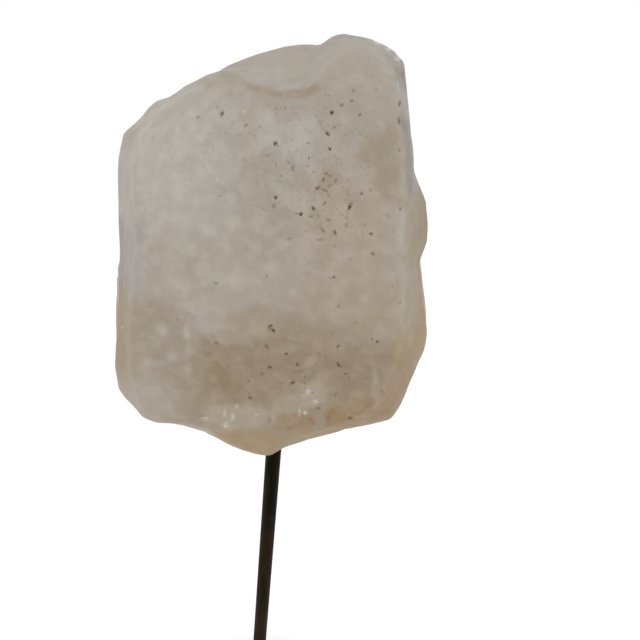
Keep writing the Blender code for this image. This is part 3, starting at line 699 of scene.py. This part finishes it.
def makeStone():
    rng = np.random.default_rng(stoneDetail["seed"])
    outside = makeStoneShape()
    block = splitBlock(outside)
    directions = unitDirections(block)
    reaches = np.linalg.norm(surfacePoints(directions, outside) - centre, axis=1)
    print("stone surface found,", len(reaches), "points")

    chips, chipNormals = edgeSpots(outside, stoneDetail["chipCount"], rng)
    reaches = chipAway(directions, reaches, chips, chipNormals, rng)
    places = centre + directions * reaches[:, None]
    across, up = (offset / mm for offset in facingPlace(places))
    front = frontness(directions)
    reaches = roughen(reaches, places, across, up, front)
    pit, crack = pitsAndCracks(places, across, up, front)
    reaches -= pit * stoneDetail["pitDepth"] + crack * stoneDetail["crackDepth"] + stoneDetail["standIn"]
    places = centre + directions * reaches[:, None]
    for vert, place in zip(block.verts, places):
        vert.co = place
    block.normal_update()
    print("stone pitted and chipped")

    # 1 where the surface faces forwards or back, less on the sides; it thins the pale veil on the flanks, a
    # painted shade there
    gain, least = stonePaint["facing"]
    facing = np.abs(np.array([vert.normal for vert in block.verts]) @ outwardAxis)
    facing = np.clip(facing * gain, least, 1)
    start, width = stonePaint["sideStart"]
    side = np.clip((np.abs(across) - start) / width, 0, 1)
    tint = stoneTint(places, across, up, front, facing, side)
    speckle = strongest(across, up, stonePaint["speckleAreas"]) * front
    painted = {
        "pit": np.maximum(pit, crack * stonePaint["crackShade"]),
        "fleck": strongest(across, up, stoneFlecks) * (front > stoneDetail["pitFront"]),
        "speckle": np.maximum(speckle, stonePaint["speckleBehind"] * (1 - front)),
        "haze": hazeShare(across, up, facing),
        "behind": np.maximum(1 - front, stonePaint["sideBehind"] * side),
    }
    stone = addSolid("quartzStone", block)
    mesh = stone.data
    mesh.shade_smooth()
    colours = mesh.color_attributes.new("tint", "FLOAT_COLOR", "POINT")
    colours.data.foreach_set("color", np.concatenate([tint, np.ones((len(tint), 1))], axis=1).ravel())
    for name, values in painted.items():
        mesh.attributes.new(name, "FLOAT", "POINT").data.foreach_set("value", values)
    drillSocket(stone)
    return stone


def densify(path, step):
    spots = []
    for (x0, y0), (x1, y1) in zip(path, path[1:]):
        count = max(2, int(math.hypot(x1 - x0, y1 - y0) / step))
        spots += [(x0 + (x1 - x0) * k / count, y0 + (y1 - y0) * k / count) for k in range(count)]
    return spots + [path[-1]]


def drillSocket(stone):
    shape = bmesh.new()
    radius, top = stoneDetail["socketRadius"], stoneDetail["socketTop"]
    bottom = top - stoneDetail["socketDepth"]
    bmesh.ops.create_cone(
        shape, cap_ends=True, segments=stoneDetail["socketSides"], radius1=radius, radius2=radius,
        depth=top - bottom,
    )
    bmesh.ops.translate(shape, vec=(0, 0, (top + bottom) / 2), verts=shape.verts)
    bit = addSolid("drillBit", shape)
    cut = stone.modifiers.new("socket", "BOOLEAN")
    cut.operation = "DIFFERENCE"
    cut.solver = "EXACT"
    cut.object = bit
    bpy.context.view_layer.update()
    cutMesh = bpy.data.meshes.new_from_object(stone.evaluated_get(bpy.context.evaluated_depsgraph_get()))
    stone.modifiers.clear()
    stone.data = cutMesh
    bpy.data.objects.remove(bit)


def newMaterial(name):
    made = bpy.data.materials.new(name)
    made.use_nodes = True
    tree = made.node_tree
    return made, tree, tree.nodes["Principled BSDF"]


def feed(tree, node, inputs):
    for name, value in inputs.items():
        socket = node.inputs[name]
        if isinstance(value, bpy.types.NodeSocket):
            tree.links.new(value, socket)
        else:
            socket.default_value = value


def addNode(tree, kind, settings=None, **inputs):
    node = tree.nodes.new(kind)
    for name, value in (settings or {}).items():
        setattr(node, name, value)
    feed(tree, node, inputs)
    return node


def mixColours(tree, share, first, second, blend="MIX"):
    node = addNode(tree, "ShaderNodeMix", {"data_type": "RGBA", "blend_type": blend})
    feed(tree, node, {0: share, 6: first, 7: second})
    return node.outputs[2]


def calculate(tree, operation, first, second=0.0, clamp=False):
    node = addNode(tree, "ShaderNodeMath", {"operation": operation, "use_clamp": clamp})
    feed(tree, node, {0: first, 1: second})
    return node.outputs[0]


def ramp(tree, value, low, high, start=0.0, end=1.0):
    node = addNode(tree, "ShaderNodeMapRange", {"clamp": True})
    feed(tree, node, {"Value": value, "From Min": low, "From Max": high, "To Min": start, "To Max": end})
    return node.outputs[0]


def grain(tree, place, size, detail=3.0, roughness=0.5, shift=0.0, curl=0.0):
    # noise with marks of that size in mm
    moved = addNode(tree, "ShaderNodeMapping", None, Vector=place, Location=(shift, 0, 0))
    node = addNode(
        tree, "ShaderNodeTexNoise", None, Vector=moved.outputs[0], Scale=1 / (size * mm), Detail=detail,
        Roughness=roughness, Distortion=curl,
    )
    return node.outputs["Fac"]


def layer(tree, place, kind):
    marks, span = kind
    return ramp(tree, grain(tree, place, *marks), *span)


def joined(tree, value):
    node = tree.nodes.new("ShaderNodeCombineColor")
    feed(tree, node, {0: value, 1: value, 2: value})
    return node.outputs[0]


quartz = {
    # layers of noise: size in mm, detail, roughness, shift, curl, then where it starts and ends, and its
    # values there
    "cloud": ((4.8, 2.0, 0.4, 0.0, 0.3), (0.44, 0.68, 0.0, 0.15)),
    "healed": ((15.0, 2.0, 0.5, 7.7), (0.45, 0.60, 0.0, 0.35)),
    "mark": ((0.9, 2.0, 0.5, 4.1), (0.63, 0.70, 0.0, 0.42)),
    "speckField": ((5.0, 2.0, 0.5, 1.7), (0.42, 0.62, 0.0, 0.8)),
    "ragged": ((0.5, 2.0, 0.5, 6.2), (0.35, 0.65, 0.65, 1.2)),
    "sparkle": ((0.9, 2.0, 0.6, 2.6), (0.36, 0.60)),
    "dull": ((6.0, 4.0, 0.5, 3.3), (0.35, 0.7, 0.50, 0.68)),
    "cloudColour": (0.60, 0.58, 0.55, 1.0),
    "patchGrain": (2.0, 0.45, 0.4),  # detail, roughness, curl
    # soft patches: size in mm, shift, where the noise starts and ends, strength, colour
    "patches": [
        (11.0, 0.4, 0.50, 0.75, 0.08, (0.27, 0.22, 0.17, 1.0)),
        (4.2, 0.9, 0.53, 0.60, 0.09, (0.50, 0.47, 0.42, 1.0)),
        (3.4, 1.3, 0.56, 0.63, 0.11, (0.26, 0.23, 0.17, 1.0)),
        (6.5, 1.9, 0.52, 0.62, 0.07, (0.48, 0.36, 0.31, 1.0)),
    ],
    "stainGrain": (4.0, 0.55, 0.6),
    # broad stains on the back and the sides, in the same way
    "stains": [
        (26.0, 2.2, 0.48, 0.62, 0.55, (0.315, 0.248, 0.168, 1.0)),
        (19.0, 3.1, 0.50, 0.62, 0.45, (0.450, 0.415, 0.360, 1.0)),
        (9.0, 4.4, 0.56, 0.66, 0.35, (0.275, 0.205, 0.130, 1.0)),
    ],
    "scales": [(4.6, 0.030), (1.9, 0.025)],  # size in mm and strength of the small broken scales
    "scaleSpan": (0.1, 0.9),
    "warp": (1.4, 3.0),       # how fast and how finely the edges of the broken cells waver
    "seamSize": 24.0,         # mm between the healed cracks of the back
    "seamFade": (0.0, 0.012, 1.0, 0.0),
    "markField": (0.0, 1.0, 0.12, 1.0),
    "markColour": (0.17, 0.13, 0.085, 1.0),
    "speckSize": 1.5,         # mm
    "speckWidth": (0.50, 0.95, 0.0, 0.30),
    "speckColour": (0.105, 0.062, 0.032, 1.0),
    "pitStain": (0.06, 0.80, 0.0, 0.85),
    "pitDark": (0.55, 0.95, 0.0, 0.9),
    "pitColour": (0.020, 0.014, 0.010, 1.0),
    "fleckColour": (0.86, 0.86, 0.85, 1.0),
    "gloss": {
        "IOR": 1.544,
        "Specular IOR Level": 0.05,
        "Subsurface Weight": 0.45,
        "Subsurface Radius": (3.6 * mm, 3.0 * mm, 2.4 * mm),
        "Subsurface Scale": 1.0,
    },
    # noise as above, strength, height in mm
    "fineBump": ((1.1, 4.0, 0.6), 0.15, 0.12),
    "coarseBump": ((4.5, 3.0, 0.5, 5.2), 0.5, 0.35),
}


def quartzFinish():
    made, tree, shader = newMaterial("milkyQuartz")
    place = tree.nodes.new("ShaderNodeTexCoord").outputs["Object"]

    def broken(size, feature):
        # cells with wavering edges
        rate, detail = quartz["warp"]
        warp = addNode(
            tree, "ShaderNodeTexNoise", None, Vector=place, Scale=rate / (size * mm), Detail=detail,
        )
        pushed = addNode(tree, "ShaderNodeVectorMath", {"operation": "MULTIPLY_ADD"})
        tree.links.new(warp.outputs["Color"], pushed.inputs[0])
        pushed.inputs[1].default_value = (size * mm,) * 3
        tree.links.new(place, pushed.inputs[2])
        return addNode(
            tree, "ShaderNodeTexVoronoi", {"feature": feature}, Vector=pushed.outputs[0],
            Scale=1 / (size * mm),
        )

    def painted(name):
        return addNode(tree, "ShaderNodeAttribute", {"attribute_name": name})

    def times(first, second, clamp=False):
        return calculate(tree, "MULTIPLY", first, second, clamp)

    colour = painted("tint").outputs["Color"]
    speckled, haze, behind = (painted(name).outputs["Fac"] for name in ("speckle", "haze", "behind"))
    cloud = times(layer(tree, place, quartz["cloud"]), haze)
    colour = mixColours(tree, cloud, colour, quartz["cloudColour"])
    for kinds, texture, where in (("patches", "patchGrain", haze), ("stains", "stainGrain", behind)):
        detail, roughness, curl = quartz[texture]
        for size, shift, low, high, share, tone in quartz[kinds]:
            marks = (size, detail, roughness, shift, curl)
            patch = times(layer(tree, place, (marks, (low, high, 0.0, share))), where)
            colour = mixColours(tree, patch, colour, tone)
    for size, share in quartz["scales"]:
        cells = broken(size, "F1").outputs["Color"]
        scale = ramp(tree, cells, *quartz["scaleSpan"], 1 - share, 1 + share)
        scaled = mixColours(tree, 1.0, colour, joined(tree, scale), "MULTIPLY")
        colour = mixColours(tree, haze, colour, scaled)
    edge = broken(quartz["seamSize"], "DISTANCE_TO_EDGE").outputs["Distance"]
    seam = times(ramp(tree, edge, *quartz["seamFade"]), layer(tree, place, quartz["healed"]))
    colour = mixColours(tree, times(seam, behind), colour, quartz["markColour"])
    mark = times(layer(tree, place, quartz["mark"]), ramp(tree, speckled, *quartz["markField"]))
    colour = mixColours(tree, mark, colour, quartz["markColour"])

    cell = addNode(
        tree, "ShaderNodeTexVoronoi", {"feature": "F1"}, Vector=place, Scale=1 / (quartz["speckSize"] * mm),
        Randomness=1.0,
    )
    width = ramp(tree, cell.outputs["Color"], *quartz["speckWidth"])
    speck = times(calculate(tree, "LESS_THAN", cell.outputs["Distance"], width), speckled)
    speck = times(speck, layer(tree, place, quartz["speckField"]))
    colour = mixColours(tree, speck, colour, quartz["speckColour"])
    pitted = times(layer(tree, place, quartz["ragged"]), painted("pit").outputs["Fac"])
    for span, tone in (("pitStain", "speckColour"), ("pitDark", "pitColour")):
        colour = mixColours(tree, ramp(tree, pitted, *quartz[span]), colour, quartz[tone])
    sparkle = times(layer(tree, place, quartz["sparkle"]), painted("fleck").outputs["Fac"], True)
    colour = mixColours(tree, sparkle, colour, quartz["fleckColour"])

    marks, strength, height = quartz["fineBump"]
    fine = addNode(
        tree, "ShaderNodeBump", None, Height=grain(tree, place, *marks), Strength=strength,
        Distance=height * mm,
    )
    marks, strength, height = quartz["coarseBump"]
    coarse = addNode(
        tree, "ShaderNodeBump", None, Height=grain(tree, place, *marks), Distance=height * mm,
        Strength=times(calculate(tree, "MAXIMUM", haze, behind), strength), Normal=fine.outputs[0],
    )
    feed(tree, shader, quartz["gloss"])
    dull = layer(tree, place, quartz["dull"])
    feed(tree, shader, {"Base Color": colour, "Roughness": dull, "Normal": coarse.outputs[0]})
    return made


bronze = {
    # material, stretch of its grain, strength of the shading at the top
    "rod": ("rodBronze", (1.0, 1.0, 0.25), 0.20),
    "base": ("baseBronze", (1.0, 1.0, 1.0), 0.0),
    # noise: size in mm, detail, roughness, shift, then where it starts and ends, and its values there
    "olive": ((3.0, 5.0, 0.5, 0.3), (0.55, 0.75, 0.0, 0.6)),
    "dull": ((5.0, 4.0, 0.5, 0.7), (0.35, 0.65, 0.42, 0.60)),
    "wear": (12.0, 4.0),
    "wearAndShadeSpan": (0.35, 0.62),
    "shadeSpan": (0.30, 0.80, -0.08),  # where the shading towards the top starts and ends, and its start
    "bump": ((0.8, 4.0, 0.5, 1.1), 0.3, 0.05),  # noise, strength, height in mm
    "darkColour": (0.004, 0.003, 0.002, 1.0),
    "brownColour": (0.022, 0.013, 0.006, 1.0),
    "oliveColour": (0.022, 0.018, 0.011, 1.0),
    "gloss": {"Metallic": 0.2, "Specular IOR Level": 0.03, "Specular Tint": (1.0, 0.84, 0.62, 1.0)},
}


def bronzeFinish(name, stretch, topShade):
    made, tree, shader = newMaterial(name)
    coordinates = tree.nodes.new("ShaderNodeTexCoord").outputs
    place = addNode(tree, "ShaderNodeMapping", None, Vector=coordinates["Object"], Scale=stretch).outputs[0]
    height = addNode(tree, "ShaderNodeSeparateXYZ", None, Vector=coordinates["Generated"]).outputs["Z"]
    shade = ramp(tree, height, *bronze["shadeSpan"], topShade)
    # wear noise, less the painted shade that darkens the rod towards its top
    wornAndShaded = calculate(tree, "SUBTRACT", grain(tree, place, *bronze["wear"]), shade)
    wornAndShaded = ramp(tree, wornAndShaded, *bronze["wearAndShadeSpan"])
    colour = mixColours(tree, wornAndShaded, bronze["darkColour"], bronze["brownColour"])
    colour = mixColours(tree, layer(tree, place, bronze["olive"]), colour, bronze["oliveColour"])
    marks, strength, lift = bronze["bump"]
    bump = addNode(
        tree, "ShaderNodeBump", None, Height=grain(tree, place, *marks), Strength=strength,
        Distance=lift * mm,
    )
    feed(tree, shader, bronze["gloss"])
    dull = layer(tree, place, bronze["dull"])
    feed(tree, shader, {"Base Color": colour, "Roughness": dull, "Normal": bump.outputs[0]})
    return made


def dress(thing, finish):
    thing.data.materials.clear()
    thing.data.materials.append(finish)


stone = makeStone()
dress(stone, quartzFinish())
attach(stone, "root")
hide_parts("crystal")
print("stone made,", len(stone.data.polygons), "faces")

dress(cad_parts["rod"], bronzeFinish(*bronze["rod"]))
dress(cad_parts["base"], bronzeFinish(*bronze["base"]))
print("stand finished")


studio = {
    "floorSize": 12.0,
    "paper": {
        "Base Color": (0.93, 0.93, 0.93, 1.0),
        "Roughness": 0.9,
        "Emission Color": (1.0, 1.0, 1.0, 1.0),
        "Emission Strength": 0.07,
    },
    "world": {"Color": (1.0, 1.0, 1.0, 1.0), "Strength": 1.0},
    "lights": {
        # place, size, strength, colour
        "front": ((-0.30, -1.10, 1.00), 0.6, 3.4, (1.0, 0.995, 0.985)),
        "window": ((0.80, -0.20, 0.80), 0.5, 0.5, (0.93, 0.97, 1.0)),
    },
    "aim": (0.0, 0.0, 0.30),
}


def makeFloor():
    half = studio["floorSize"] / 2
    shape = bmesh.new()
    bmesh.ops.create_grid(shape, x_segments=1, y_segments=1, size=half)
    floor = addSolid("paleFloor", shape)
    made, tree, shader = newMaterial("palePaper")
    feed(tree, shader, studio["paper"])
    floor.data.materials.append(made)


def makeLights():
    for name, (place, size, strength, colour) in studio["lights"].items():
        lamp = bpy.data.lights.new(name, "AREA")
        lamp.shape = "DISK"
        lamp.size = size
        lamp.energy = strength
        lamp.color = colour
        thing = addObject(name, lamp)
        thing.location = place
        aim = Vector(studio["aim"]) - Vector(place)
        thing.rotation_euler = aim.to_track_quat("-Z", "Y").to_euler()
    world = bpy.data.worlds.new("softRoom")
    bpy.context.scene.world = world
    world.use_nodes = True
    feed(world.node_tree, world.node_tree.nodes["Background"], studio["world"])
    bpy.context.scene.view_settings.view_transform = "Standard"


camera = {
    "lens": 35.4,
    "sensorWidth": 36.0,
    "clip": (0.01, 20.0),
    "place": Vector((13.35, -200.85, 389.7)) * mm,
}


def makeCamera():
    view = bpy.data.cameras.new("camera")
    view.lens = camera["lens"]
    view.sensor_width = camera["sensorWidth"]
    view.clip_start, view.clip_end = camera["clip"]
    thing = addObject("camera", view)
    turn = Matrix((rightAxis, upAxis, outwardAxis)).transposed().to_4x4()
    thing.matrix_world = Matrix.Translation(camera["place"]) @ turn
    bpy.context.scene.camera = thing


makeFloor()
makeLights()
makeCamera()
print("floor, light and camera set")
